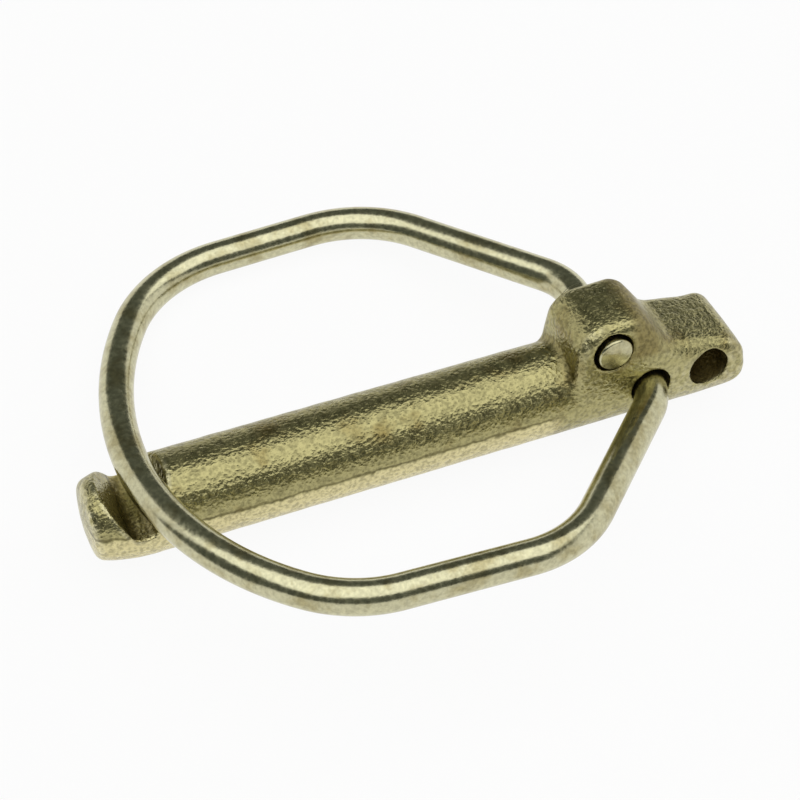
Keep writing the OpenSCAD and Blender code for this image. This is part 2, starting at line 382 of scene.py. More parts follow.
def head_block(x, y, z, s):
    """The head: round below and drafted flat at the sides, between the shoulder's plane and the
    head's end, under a tall plateau, a slope, and a low plateau with a rounded nose."""
    side_y = np.abs(y)
    drafted = side_y * math.cos(DRAFT) + z * math.sin(DRAFT) - SHAFT_R
    round_below = np.hypot(y, z) - SHAFT_R
    section = np.where(z > side_y * math.tan(DRAFT), drafted, round_below)
    # The three faces are slightly crowned
    crown = (x - 4.8) ** 2 / 90 + y**2 / 60
    tall_top = z - TALL_TOP_Z - (x - TALL_TOP_X) * TALL_TOP_RISE + crown
    slope = x * math.sin(SLOPE) + z * math.cos(SLOPE) - SLOPE_REACH + y**2 / 80
    low_top = z - LOW_TOP_Z + (x - LOW_TOP_X) * LOW_TOP_FALL + y**2 / 90
    # The end and the shoulder lean back above the parting line, so that they leave the die
    end = (x - HEAD_END + 0.02) * math.cos(END_DRAFT) + np.maximum(z, 0) * math.sin(END_DRAFT)
    under_nose = NOSE_X * x - NOSE_Z * z - NOSE_REACH
    # The shoulder's plane slips back where the sides are flush with the shaft
    shoulder = -x * math.cos(END_DRAFT) + np.maximum(z, 0) * math.sin(END_DRAFT)
    shoulder = shoulder - 3.0 * ramp(-z, -1.3, 0.3)
    top = either(both(tall_top, slope, CREST_R), low_top, s["step_r"])
    top = both(both(top, end, END_EDGE_R), under_nose, NOSE_EDGE_R)
    top = both(top, shoulder, SHOULDER_CREST_R)
    # The low plateau's edges are rounder than the rest, and the nose's sharper
    rounder = 1 + 0.35 * ramp(x, 9.0, 12.0) - 0.5 * ramp(x, 16.5, 19.5)
    return both(section, top, s["edge_r"] * rounder)


def ring_groove(x, z, s):
    """The groove's hollow: above its floor, between two leaning flanks, with filleted corners."""
    lean_c, lean_s = math.cos(FLANK), math.sin(FLANK)
    rise = z - GROOVE_FLOOR_Z
    head_side = (x - GROOVE_HEAD_X) * lean_c - rise * lean_s
    tip_side = -(x - GROOVE_TIP_X) * lean_c - rise * lean_s
    return both(both(-rise, head_side, s["groove_r"]), tip_side, s["groove_r"])


def forging_solid(points, s, holes=True):
    """Distance to the forging's surface, negative inside: the shaft and the head joined, less the
    groove, less the three cross holes."""
    x, y, z = points[..., 0], points[..., 1], points[..., 2]
    # The fillet under the shoulder runs out where the head is flush with the shaft
    fillet = s["shoulder_r"] * ramp(z, 0.5, 3.5) + 0.02
    solid = either(tip_and_shaft(x, y, z), head_block(x, y, z, s), fillet)
    solid = both(solid, -ring_groove(x, z, s), GROOVE_RIM_R)
    if holes:
        for centre in HOLES:
            bore = np.hypot(x - centre[0], z - centre[2]) - HOLE_R
            solid = both(solid, -bore, s["rim_r"])
    return solid


# A radius that is outside the forging everywhere, the halvings that take it to the surface, and
# the least radius that a row keeps, so that no row shrinks to a point
OUTSIDE_R, HALVINGS, LEAST_R = 14.0, 26, 0.05
# How far a drill reaches to each side of the pin's axis, and the fewest faces that the drilled
# forging can have if it came out whole
DRILL_REACH, FEWEST_FACES = 9.0, 20000
# Steps that take the mesh's points onto the exact surface, and the longest that one may be
SETTLING_STEPS, LONGEST_STEP = 4, 0.15
# How far off a point's bend is felt
BEND_REACH = 0.45


def forging_surface(s, columns=128):
    """The forging without its holes, as a function of the place along X and the angle round it:
    on each ray out from the axis, the radius where forging_solid is zero, by halving."""
    # Stations along X crowd where the section changes fast: the tip, the shoulder and the end
    stations = np.unique(
        np.concatenate([
            PIN_END + 0.02 + 1.2 * np.linspace(0.0, 1, 16) ** 2,
            np.linspace(PIN_END + 1.3, -43.0, 50),
            np.linspace(-42.5, -1.0, 70),
            np.linspace(-0.9, 1.6, 60),
            np.linspace(1.7, 18.5, 90),
            HEAD_END - 0.06 - 2.3 * np.linspace(0, 1, 28) ** 2,
        ])
    )
    angle = np.linspace(0, 2 * math.pi, columns, endpoint=False)
    x, a = np.meshgrid(stations, angle, indexing="ij")
    low, high = np.zeros_like(x), np.full_like(x, OUTSIDE_R)
    for _ in range(HALVINGS):
        middle = (low + high) / 2
        points = np.stack([x, middle * np.cos(a), middle * np.sin(a)], axis=-1)
        inside = forging_solid(points, s, holes=False) < 0
        low, high = np.where(inside, middle, low), np.where(inside, high, middle)
    radius = np.maximum(low, LEAST_R)
    return np.stack([x, radius * np.cos(a), radius * np.sin(a)], axis=-1)


def slope_of(field, points, step=0.02):
    """The field's steepest direction and its steepness at each point."""
    parts = []
    for k in range(3):
        shift = np.zeros(3)
        shift[k] = step
        parts.append((field(points + shift) - field(points - shift)) / (2 * step))
    gradient = np.stack(parts, axis=-1)
    steep = np.linalg.norm(gradient, axis=-1, keepdims=True)
    return gradient / np.maximum(steep, 1e-6), np.maximum(steep[:, 0], 0.2)


def settled(field, points):
    """Moves every point onto the field's exact surface: it steps back along the slope by its
    distance, a few times over."""
    for _ in range(SETTLING_STEPS):
        out, steep = slope_of(field, points)
        step = np.clip(field(points) / steep, -LONGEST_STEP, LONGEST_STEP)
        points = points - out * step[:, None]
    return points


def outward_bend(field, points, out):
    """How tightly the surface bends outwards: how far it falls away from the plane that touches
    it, BEND_REACH off on four sides, over that reach squared."""
    across = np.cross(out, np.where(np.abs(out[:, :1]) < 0.7, [[1.0, 0, 0]], [[0, 0, 1.0]]))
    across /= np.linalg.norm(across, axis=1, keepdims=True)
    around = 0.0
    for way in (across, np.cross(out, across)):
        around = around + field(points + way * BEND_REACH) + field(points - way * BEND_REACH)
    return around / (BEND_REACH * BEND_REACH)


def drill(centre, columns=96):
    """A drill through the head: a circle of the holes' radius carried along Y."""
    angle = np.linspace(0, 2 * math.pi, columns, endpoint=False)
    y = np.array([-DRILL_REACH, DRILL_REACH])[:, None] * np.ones(columns)
    x = centre[0] + HOLE_R * np.cos(angle) * np.ones((2, 1))
    z = centre[2] + HOLE_R * np.sin(angle) * np.ones((2, 1))
    rings = np.stack([x, y, z], axis=-1)
    start, end = (centre[0], -DRILL_REACH, centre[2]), (centre[0], DRILL_REACH, centre[2])
    return closed_mesh("drill", rings, start, end, flip=True)


def finished_mesh(obj, name):
    """The object's mesh with its modifiers applied, and the object gone."""
    graph = bpy.context.evaluated_depsgraph_get()
    mesh = bpy.data.meshes.new_from_object(obj.evaluated_get(graph))
    mesh.name = name
    bpy.data.objects.remove(obj)
    return mesh


# ---------------------------------------------------------------- the wire's shape

# Distance between points of the wire's centre line, and of its tail's
PATH_STEP, TAIL_STEP = 0.35, 0.1
# The shortest straight that the wire keeps before its first bend
LEAST_STRAIGHT = 0.15
# How far past the middle of its hole the wire's front end reaches, as a share of the shaft's radius
FRONT_REACH = 0.7
# How far the tail stands out of the upper hole, and how far it leans there along X and Z
TAIL_PROUD, TAIL_LEAN_X, TAIL_LEAN_Z = 0.25, 0.12, 0.1
# The end faces: how far from the end the rounding starts, and how much radius it takes off. The
# tail's end has first been spread by the shears
END_ROUNDING, END_LOSS = 0.5, 0.35
TAIL_ROUNDING, TAIL_LOSS, TAIL_SPREAD = 0.3, 0.16, 0.13


def arc_2d(centre, r, start, end):
    """Points of an arc, about PATH_STEP apart: centre + r (cos a, sin a)."""
    count = max(int(abs(end - start) * r / PATH_STEP), 2)
    a = np.linspace(start, end, count + 1)
    return np.stack([centre[0] + r * np.cos(a), centre[1] + r * np.sin(a)], axis=-1)


def half_ring(span, y0, pivot, corner_x, side_r, end_r, w):
    """One half of the ring in its own plane, from the hole to the far end, in two lengths:
    straight out of the hole, a bend, the leg and a bend; then the side, the far corner's arc and
    half the far end's arc."""
    half = w["ring_w"] / 2
    head_r, far_r = w["head_bend_r"], w["far_corner_r"]
    # The far corner's arc touches both the side and the far end's arc at this depth
    depth = end_r - math.sqrt(end_r**2 - half**2 + 2 * half * far_r - 2 * end_r * far_r)
    end_turn = math.atan2(half - far_r, end_r - depth)
    bend, corner = np.array([0.0, pivot]), np.array([-corner_x, half])
    leg = (corner - bend) / np.linalg.norm(corner - bend)
    leg_a = math.atan2(leg[1], leg[0])
    turn1, turn2 = leg_a - math.pi / 2, math.pi - leg_a
    t1 = min(head_r * math.tan(turn1 / 2), pivot - y0 - LEAST_STRAIGHT)
    t2 = side_r * math.tan(turn2 / 2)
    r1 = t1 / math.tan(turn1 / 2)
    start, p1 = np.array([0.0, y0]), np.array([0.0, pivot - t1])
    p2, p3 = bend + leg * t1, corner - leg * t2
    p4 = np.array([-corner_x - t2, half])
    p5 = np.array([-span + depth, half])
    far_centre = np.array([-span + end_r, 0.0])

    def line(a, b):
        """Points of a straight, about PATH_STEP apart."""
        count = max(int(np.linalg.norm(b - a) / PATH_STEP), 2)
        return a + (b - a) * np.linspace(0, 1, count + 1)[:, None]

    leg_part = np.concatenate([
        line(start, p1)[:-1],
        arc_2d((-r1, p1[1]), r1, 0, turn1)[:-1],
        line(p2, p3)[:-1],
        arc_2d((p4[0], half - side_r), side_r, leg_a - math.pi / 2, math.pi / 2),
    ])
    rest = np.concatenate([
        line(p4, p5)[1:-1],
        arc_2d((p5[0], half - far_r), far_r, math.pi / 2, math.pi - end_turn)[:-1],
        arc_2d(far_centre, end_r, math.pi - end_turn, math.pi),
    ])
    return leg_part, rest


def tube(name, path, radius, before=None, point=None, columns=56):
    """Wire: a circle carried along a path. Each point's ring lies square to the path, with one
    axis as near to straight up as it can be. before is a point that the wire comes from, where
    another length of it leads in; point is where its last end comes to, if not to the path's."""
    path = np.asarray(path, float)
    radius = np.broadcast_to(np.asarray(radius, float), (len(path),))
    along = np.gradient(path, axis=0)
    if before is not None:
        along[0] = path[0] - before
    along /= np.linalg.norm(along, axis=1, keepdims=True)
    up = np.array([0.0, 0.0, 1.0]) - along * along[:, 2:3]
    up /= np.linalg.norm(up, axis=1, keepdims=True)
    across = np.cross(along, up)
    angle = np.linspace(0, 2 * math.pi, columns, endpoint=False)
    rings = (
        path[:, None, :]
        + radius[:, None, None]
        * (
            across[:, None, :] * np.cos(angle)[None, :, None]
            + up[:, None, :] * np.sin(angle)[None, :, None]
        )
    )
    # A second row close to each end holds the shading there: the edge of an end face stays crisp,
    # and a join with the next length stays even
    rings = np.concatenate([
        rings[:1], rings[:1] * 0.97 + rings[1:2] * 0.03, rings[1:-1],
        rings[-1:] * 0.97 + rings[-2:-1] * 0.03, rings[-1:],
    ])
    tip = path[-1] if point is None else point
    mesh = closed_mesh(name, lay_down(rings), lay_down(path[0]), lay_down(tip), flip=True)
    # Length along the wire and distance round it, in mm, for the drawn wire's fine marks
    travelled = np.concatenate([[0.0], np.cumsum(np.linalg.norm(np.diff(path, axis=0), axis=1))])
    travelled = np.repeat(travelled[[0, *range(len(path)), -1]], columns)
    point_value(mesh, "along", np.concatenate([travelled, [0.0, travelled[-1]]]))
    return mesh


def rounding(from_end, reach):
    """How far a rounded end has closed at each distance from it, from 0 at reach to 1 at the end:
    what a quarter circle leaves of 1."""
    return 1 - np.sqrt(np.clip(1 - np.clip(1 - from_end / reach, 0, 1) ** 2, 0, 1))


def ring_paths(w):
    """The wire's centre line in three lengths: the rear leg, from the head's rear face to the
    end of its side bend; the rest of the ring, round to the lower hole; and the tail in the upper
    hole."""
    shift = w["ring_shift"]
    apex_x = float(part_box("ring")[0].x) / MM + w["wire_d"] / 2 + 0.02
    apex_z = w["apex_z"]
    # The head's rear face at the upper hole, where the tail ends and the rear leg starts
    head_back = SHAFT_R + 0.06

    def in_place(flat, hole, tilt, side):
        """A half's own plane to the pin's frame, tilted about the hole's axis."""
        return np.stack([
            hole[0] + flat[:, 0] * math.cos(tilt),
            shift + side * flat[:, 1],
            hole[2] + flat[:, 0] * math.sin(tilt),
        ], axis=-1)

    halves = []
    for hole, start, out, corner_x, side_r, end_r, side in (
        (UPPER_HOLE, head_back + 0.02 - shift, SHAFT_R + w["rear_out"] - shift,
         w["rear_corner_x"], w["rear_bend_r"], w["rear_end_r"], 1),
        (LOWER_HOLE, shift - SHAFT_R * FRONT_REACH, SHAFT_R + w["front_out"] + shift,
         w["front_corner_x"], w["front_bend_r"], w["front_end_r"], -1),
    ):
        span = math.hypot(hole[0] - apex_x, hole[2] - apex_z)
        tilt = math.atan2(hole[2] - apex_z, hole[0] - apex_x)
        corner = (corner_x + hole[0]) / math.cos(tilt)
        leg, rest = half_ring(span, start, out, corner, side_r, end_r, w)
        halves.append((in_place(leg, hole, tilt, side), in_place(rest, hole, tilt, side)))
    (rear_leg, rear_rest), (front_leg, front_rest) = halves
    main = np.concatenate([rear_leg[-1:], rear_rest[:-1], front_rest[::-1], front_leg[::-1]])
    front_y = -(SHAFT_R / math.cos(DRAFT) - UPPER_HOLE[2] * math.tan(DRAFT) + TAIL_PROUD)
    count = int((head_back - front_y) / TAIL_STEP)
    tail = np.zeros((count + 1, 3))
    # The tail leans in its hole, towards the head's end and down, within the hole's clearance
    lean = np.linspace(0, 1, count + 1)
    tail[:, 0] = UPPER_HOLE[0] + TAIL_LEAN_X * lean
    tail[:, 2] = UPPER_HOLE[2] - TAIL_LEAN_Z * lean
    tail[:, 1] = np.linspace(head_back, front_y, count + 1)
    return rear_leg, main, tail


# ---------------------------------------------------------------- materials


def linear(code):
    """An sRGB colour, as a hex code or as three numbers from 0 to 1, in linear light."""
    if isinstance(code, str):
        code = hex_values(code)
    values = [v / 12.92 if v <= 0.04045 else ((v + 0.055) / 1.055) ** 2.4 for v in code]
    return (*values, 1.0)


def add_node(tree, kind, settings=None, **inputs):
    """Adds a node. settings are its own properties; inputs are constants or output sockets, by
    socket name with _ for a space, or by number after _."""
    node = tree.nodes.new(kind)
    for name, value in (settings or {}).items():
        setattr(node, name, value)
    for name, value in inputs.items():
        key = int(name[1:]) if name[0] == "_" else name.replace("_", " ")
        socket = node.inputs[key]
        if isinstance(value, bpy.types.NodeSocket):
            tree.links.new(value, socket)
        else:
            socket.default_value = value
    return node


def new_material(name):
    """An empty material, its tree and its output node."""
    material = bpy.data.materials.new(name)
    material.use_nodes = True
    tree = material.node_tree
    tree.nodes.clear()
    return material, tree, tree.nodes.new("ShaderNodeOutputMaterial")


def colour_steps(tree, factor, stops):
    """A colour ramp: stops are (position, linear colour)."""
    node = add_node(tree, "ShaderNodeValToRGB", None, Fac=factor)
    ramp_ = node.color_ramp
    while len(ramp_.elements) < len(stops):
        ramp_.elements.new(0.5)
    for element, (position, value) in zip(ramp_.elements, stops):
        element.position, element.color = position, value
    return node.outputs["Color"]


def blasted_zinc(finish):
    """Zinc plate with yellow passivation on a shot-blasted drop forging. Blasting leaves fine
    craters under half a millimetre across over the die's coarser orange peel, so the metal
    glitters in grains and its highlights break up. Corners, holes, the groove and the face by the
    step are darkened with painted shade; the edges are paler, partly rubbed by handling and partly
    a painted highlight; and the strip under the parting line is paler, partly trimmed and partly a
    painted reflection of the floor."""
    material, tree, output = new_material("passivated_zinc_on_blasted_forging")
    place = add_node(tree, "ShaderNodeTexCoord").outputs["Object"]
    # Object coordinates are metres: a noise scale of 1000 / size gives features of size mm
    grit = add_node(tree, "ShaderNodeTexNoise", None,
                    Vector=place, Scale=1000 / 0.40, Detail=1.5, Roughness=0.5)
    peel = add_node(tree, "ShaderNodeTexNoise", None,
                    Vector=place, Scale=1000 / 0.95, Detail=2.0, Roughness=0.5)
    cloud = add_node(tree, "ShaderNodeTexNoise", None,
                     Vector=place, Scale=1000 / 5.0, Detail=4.0, Roughness=0.6)
    # Stored on the mesh: edges that are paler, partly worn and partly a painted highlight; painted
    # shade in corners, holes, the groove and by the step; height above the line where the dies met;
    # and how much of a side a point is on
    wear, deep, trim, side = [
        add_node(tree, "ShaderNodeAttribute", {"attribute_name": name}).outputs["Fac"]
        for name in ("wear", "deep", "trim", "side")
    ]

    base = colour_steps(tree, cloud.outputs["Fac"], [
        (0.28, linear(finish.zinc_deep)), (0.46, linear(finish.zinc)),
        (0.70, linear(finish.zinc)), (0.90, linear(finish.zinc_light)),
    ])
    # The pits of the grit hold a little more colour
    pits = add_node(tree, "ShaderNodeMapRange", None,
                    Value=grit.outputs["Fac"], From_Min=0.34, From_Max=0.60,
                    To_Min=0.70, To_Max=1.14)
    # Where the dies met the line wanders a little; below it lies a paler, smoother strip, partly
    # left by trimming the flash and partly a painted reflection of the pale floor
    wander = add_node(tree, "ShaderNodeMath", {"operation": "MULTIPLY_ADD"},
                      _0=peel.outputs["Fac"], _1=0.7, _2=-0.35)
    height = add_node(tree, "ShaderNodeMath", {"operation": "ADD"}, _0=trim, _1=wander.outputs[0])
    strip = add_node(tree, "ShaderNodeMapRange", {"interpolation_type": "SMOOTHSTEP"},
                     Value=height.outputs[0], From_Min=-0.45, From_Max=-0.05,
                     To_Min=1.0, To_Max=0.0)
    fade = add_node(tree, "ShaderNodeMapRange", {"interpolation_type": "SMOOTHSTEP"},
                    Value=trim, From_Min=-6.0, From_Max=-3.5, To_Min=0.0, To_Max=0.75)
    strip = add_node(tree, "ShaderNodeMath", {"operation": "MULTIPLY"},
                     _0=strip.outputs["Result"], _1=fade.outputs["Result"])
    strip = add_node(tree, "ShaderNodeMath", {"operation": "MULTIPLY"},
                     _0=strip.outputs[0], _1=side)
    base = add_node(tree, "ShaderNodeMix", {"data_type": "RGBA"},
                    _0=strip.outputs[0], _6=base, _7=linear(finish.zinc_trim)).outputs[2]
    # The edges are paler in patches: partly rubbed, partly a painted highlight
    worn_and_highlit = add_node(tree, "ShaderNodeMath", {"operation": "MULTIPLY", "use_clamp": True},
                    _0=wear, _1=add_node(tree, "ShaderNodeMapRange", None,
                                         Value=peel.outputs["Fac"], From_Min=0.38, From_Max=0.62,
                                         To_Min=0.05, To_Max=0.75).outputs["Result"])
    base = add_node(tree, "ShaderNodeMix", {"data_type": "RGBA"},
                    _0=worn_and_highlit.outputs[0], _6=base, _7=linear(finish.zinc_light)).outputs[2]
    # Painted shade darkens corners, hole walls, the groove's floor and the face beside the step
    base = add_node(tree, "ShaderNodeMix", {"data_type": "RGBA"},
                    _0=deep, _6=base, _7=linear(finish.zinc_deep)).outputs[2]
    base = add_node(tree, "ShaderNodeMix", {"data_type": "RGBA", "blend_type": "MULTIPLY"},
                    _0=1.0, _6=base, _7=pits.outputs["Result"]).outputs[2]
    # The line itself is a fine dark step
    near = add_node(tree, "ShaderNodeMath", {"operation": "ABSOLUTE"}, _0=height.outputs[0])
    near = add_node(tree, "ShaderNodeMapRange", {"interpolation_type": "SMOOTHSTEP"},
                    Value=near.outputs[0], From_Min=0.02, From_Max=0.26, To_Min=0.6, To_Max=0.0)
    near = add_node(tree, "ShaderNodeMath", {"operation": "MULTIPLY"},
                    _0=near.outputs["Result"], _1=side)
    base = add_node(tree, "ShaderNodeMix", {"data_type": "RGBA"},
                    _0=near.outputs[0], _6=base, _7=linear(finish.zinc_line)).outputs[2]

    rough = add_node(tree, "ShaderNodeMapRange", None,
                     Value=peel.outputs["Fac"], From_Min=0.3, From_Max=0.7,
                     To_Min=0.25, To_Max=0.36)
    # Holes and corners are left as the drill and the die left them: dull
    rough = add_node(tree, "ShaderNodeMath", {"operation": "MULTIPLY_ADD"},
                     _0=deep, _1=0.25, _2=rough.outputs["Result"])
    bump = add_node(tree, "ShaderNodeBump", None, Strength=0.5, Distance=0.00009,
                    Height=peel.outputs["Fac"])
    bump = add_node(tree, "ShaderNodeBump", None, Strength=1.0, Distance=0.000125,
                    Height=grit.outputs["Fac"], Normal=bump.outputs["Normal"])
    shader = add_node(tree, "ShaderNodeBsdfPrincipled", None, Metallic=1.0,
                      Base_Color=base, Roughness=rough.outputs[0],
                      Normal=bump.outputs["Normal"])
    tree.links.new(shader.outputs["BSDF"], output.inputs["Surface"])
    return material


def drawn_zinc(finish):
    """Zinc plate with yellow passivation on cold-drawn spring wire. The die leaves the wire smooth
    and straight-grained, so it mirrors the room in long clean bands; the plate's slight waviness
    breaks their edges, and the stain varies a little along the wire."""
    material, tree, output = new_material("passivated_zinc_on_drawn_wire")
    place = add_node(tree, "ShaderNodeTexCoord").outputs["Object"]
    cloud = add_node(tree, "ShaderNodeTexNoise", None,
                     Vector=place, Scale=1000 / 3.2, Detail=3.0, Roughness=0.6)
    fine = add_node(tree, "ShaderNodeTexNoise", None,
                    Vector=place, Scale=1000 / 0.5, Detail=3.0, Roughness=0.65)
    base = colour_steps(tree, cloud.outputs["Fac"], [
        (0.34, linear(finish.wire_deep)), (0.52, linear(finish.wire)), (0.75, linear(finish.wire)),
    ])
    mottle = add_node(tree, "ShaderNodeMapRange", None,
                      Value=fine.outputs["Fac"], From_Min=0.35, From_Max=0.62,
                      To_Min=0.80, To_Max=1.06)
    base = add_node(tree, "ShaderNodeMix", {"data_type": "RGBA", "blend_type": "MULTIPLY"},
                    _0=1.0, _6=base, _7=mottle.outputs["Result"]).outputs[2]
    rough = add_node(tree, "ShaderNodeMapRange", None,
                     Value=fine.outputs["Fac"], From_Min=0.3, From_Max=0.7,
                     To_Min=0.16, To_Max=0.27)
    bump = add_node(tree, "ShaderNodeBump", None, Strength=0.35, Distance=0.00008,
                    Height=cloud.outputs["Fac"])
    bump = add_node(tree, "ShaderNodeBump", None, Strength=0.4, Distance=0.00003,
                    Height=fine.outputs["Fac"], Normal=bump.outputs["Normal"])
    shader = add_node(tree, "ShaderNodeBsdfPrincipled", None, Metallic=1.0,
                      Base_Color=base, Roughness=rough.outputs["Result"],
                      Normal=bump.outputs["Normal"])
    tree.links.new(shader.outputs["BSDF"], output.inputs["Surface"])
    return material


# ---------------------------------------------------------------- operators

# The camera's direction from its aim point and its turn about that line
CAMERA_AZIMUTH, CAMERA_ELEVATION = math.radians(21.42), math.radians(44.88)
CAMERA_TURN = math.radians(-0.54)
# How far the aim point lies left of and below the lower hole's place on the axis, and how far off
# the camera is, in mm
AIM_LEFT, AIM_BELOW, CAMERA_DISTANCE = 24.678, 3.944, 214.61
LENS, SENSOR_WIDTH = 90.1, 36.0

# The floor's half-width, and the boards that stand on it: start, end and height, all in metres
FLOOR_HALF = 3.0
BOARDS = (
    ("front_board", (-0.7, -0.32), (0.7, -0.32), 0.156),
    ("right_board", (0.34, -0.50), (0.34, 0.26), 0.30),
    ("left_board", (-0.36, 0.62), (-0.36, 0.10), 0.34),
)
# Share of the floor's light that is its own where it is seen, and the room's grey
GLOW_SHARE = 0.93
ROOM = "5B5F5A"
# The softbox: its place in mm, its two sides in metres and its power in watts
SOFTBOX_PLACE, SOFTBOX_SIZE, SOFTBOX_WATTS = (0, -178, 520), (1.0, 0.69), 2.95


class LYNCHPIN_OT_forging(bpy.types.Operator):
    """Build the forged pin: shaft, grooved tip and stepped head with its three cross holes"""

    bl_idname = "lynchpin.forging"
    bl_label = "Forged pin"

    def execute(self, context):
        s = sizes(context.scene.lynchpin_forging)
        mesh = self.drilled_blank(s)

        def field(points):
            """Distance to the finished forging's surface."""
            return forging_solid(points, s)

        points = settled(field, points_of(mesh))
        out, _ = slope_of(field, points)
        in_hole, near_hole = self.hole_shares(points)
        self.store_finish(mesh, points, outward_bend(field, points, out), in_hole, near_hole)
        # The forged skin is lumpy at two sizes, and drilled walls aren't. Half a lump's height
        # comes off everywhere, so that few lumps stand outside the CAD
        lumps = soft_noise(points, 1.9, 3) * 0.6 + soft_noise(points, 0.9, 5) * 0.4
        calm = (1 - in_hole) * s["lump_height"]
        points = points + out * (lumps * calm)[:, None] - out * (s["lump_height"] * 0.5)
        put_points(mesh, lay_down(points))
        pin = add_object("forged_pin", mesh)
        mesh.materials.append(blasted_zinc(context.scene.lynchpin_finish))
        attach(pin, "pin")
        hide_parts("pin")
        return {"FINISHED"}

    def drilled_blank(self, s):
        """The forging with its holes drilled, as an even mesh of small quads."""
        rings = forging_surface(s)
        blank = add_object("blank", closed_mesh(
            "blank", rings, (rings[0, 0, 0], 0.0, 0.0), (rings[-1, 0, 0], 0.0, 0.0)
        ))
        drills = []
        for centre in HOLES:
            tool = add_object("drill", drill(centre))
            cut = blank.modifiers.new("cross hole", "BOOLEAN")
            cut.operation, cut.solver, cut.object = "DIFFERENCE", "EXACT", tool
            drills.append(tool)
        even = blank.modifiers.new("even mesh", "REMESH")
        even.mode, even.voxel_size = "VOXEL", s["mesh_size"]
        mesh = finished_mesh(blank, "forged_pin")
        for tool in drills:
            bpy.data.objects.remove(tool)
        if len(mesh.polygons) < FEWEST_FACES:
            raise RuntimeError("the forging's mesh didn't build")
        mesh.polygons.foreach_set("use_smooth", np.ones(len(mesh.polygons), bool))
        return mesh

    def hole_shares(self, points):
        """How far each point is inside a hole, and how near to a hole's rim, from 0 to 1."""
        x, y, z = points.T
        in_hole, near_hole = np.zeros(len(points)), np.zeros(len(points))
        for centre in HOLES:
            bore = np.hypot(x - centre[0], z - centre[2]) - HOLE_R
            side = np.abs(y) - (SHAFT_R / math.cos(DRAFT) - z * math.tan(DRAFT))
            in_hole = np.maximum(in_hole, ramp(-bore, -0.12, 0.0) * ramp(-side, 0.15, 0.9))
            near_hole = np.maximum(near_hole, ramp(-bore, -0.9, -0.4))
        return in_hole, near_hole

    def store_finish(self, mesh, points, bend, in_hole, near_hole):
        """Stores what the finish reads: edges paler, partly worn and partly a painted highlight;
        painted shade in corners, holes, the groove and by the step; and the strip along the line
        where the dies met."""
        x, y, z = points.T
        # Convex edges are paler: partly rubbed by handling, partly a painted highlight
        rubbed_and_highlit = ramp(bend, 0.45, 1.5) * (1 - near_hole)
        # The shoulder's upright edges are paler and highlighted less than the rest
        upright_edge = ramp(-x, -1.8, -1.0) * ramp(x, -0.8, -0.3) * ramp(-z, -9.0, -8.0)
        # The tip's end has rubbed paler too, and the underside of the head's outer half is paler
        ends = np.maximum(ramp(-x, 50.2, 50.6), 0.6 * ramp(x, 8.0, 15.0) * ramp(-z, -3.5, -1.5))
        point_value(mesh, "wear", np.maximum(rubbed_and_highlit * (1 - 0.4 * upright_edge) * 0.6, ends))
        # Painted shade: concave corners, hole walls, the groove's floor and the face beside the
        # step
        groove = ramp(-np.maximum(x - GROOVE_HEAD_X - 1.6, GROOVE_TIP_X - 1.2 - x), 0.0, 0.6)
        shade_in_groove = groove * ramp(-z, -2.4, -0.6) * ramp(z, -0.2, 0.2)
        shade_by_step = ramp(x, 6.4, 7.8) * ramp(-x, -11.0, -9.5) * ramp(z, 4.6, 5.8)
        point_value(mesh, "deep", np.clip(
            ramp(-bend, 0.15, 0.8) * 0.4 + in_hole + shade_in_groove * 0.1 + shade_by_step * 0.7, 0, 1))
        # Height above the line where the dies met, along both sides
        meet = np.interp(x, [-50.0, -40.0, -34.0, -2.0, 21.0], [1.1, 0.83, 0.6, 0.5, 0.5])
        point_value(mesh, "trim", z - meet)
        point_value(mesh, "side", ramp(np.abs(y), 1.0, 3.0) * ramp(-x, 0.2, 3.0))


class LYNCHPIN_OT_ring(bpy.types.Operator):
    """Build the sprung wire ring: its rear leg, the ring itself, and its tail"""

    bl_idname = "lynchpin.ring"
    bl_label = "Wire ring"

    def execute(self, context):
        w = sizes(context.scene.lynchpin_ring)
        r = w["wire_d"] / 2
        material = drawn_zinc(context.scene.lynchpin_finish)
        rear_leg, main, tail = ring_paths(w)
        # The sheared end is dressed round
        from_end = np.linalg.norm(main - main[-1], axis=1)
        radius = r - END_LOSS * rounding(from_end, END_ROUNDING)
        ring = add_object("wire_ring", tube("wire_ring", main, radius, before=rear_leg[-2]))
        leg = add_object("ring_rear_leg", tube("ring_rear_leg", rear_leg, r))
        # Shearing has spread the tail's end, and dressing has left it with a blunt point off centre
        from_end = np.linalg.norm(tail - tail[-1], axis=1)
        spread = TAIL_SPREAD * ramp(-from_end, -1.6, -0.5)
        radius = r + spread - TAIL_LOSS * rounding(from_end, TAIL_ROUNDING)
        point = tail[-1] + np.array([-0.4, -0.14, 0.5])
        end = add_object("ring_tail_end", tube("ring_tail_end", tail, radius, point=point))
        for obj in (ring, leg, end):
            obj.data.materials.append(material)
        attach(ring, "ring")
        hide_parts("ring")
        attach(end, "ring_tail")
        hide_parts("ring_tail")
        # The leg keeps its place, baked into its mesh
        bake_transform(leg)
        return {"FINISHED"}


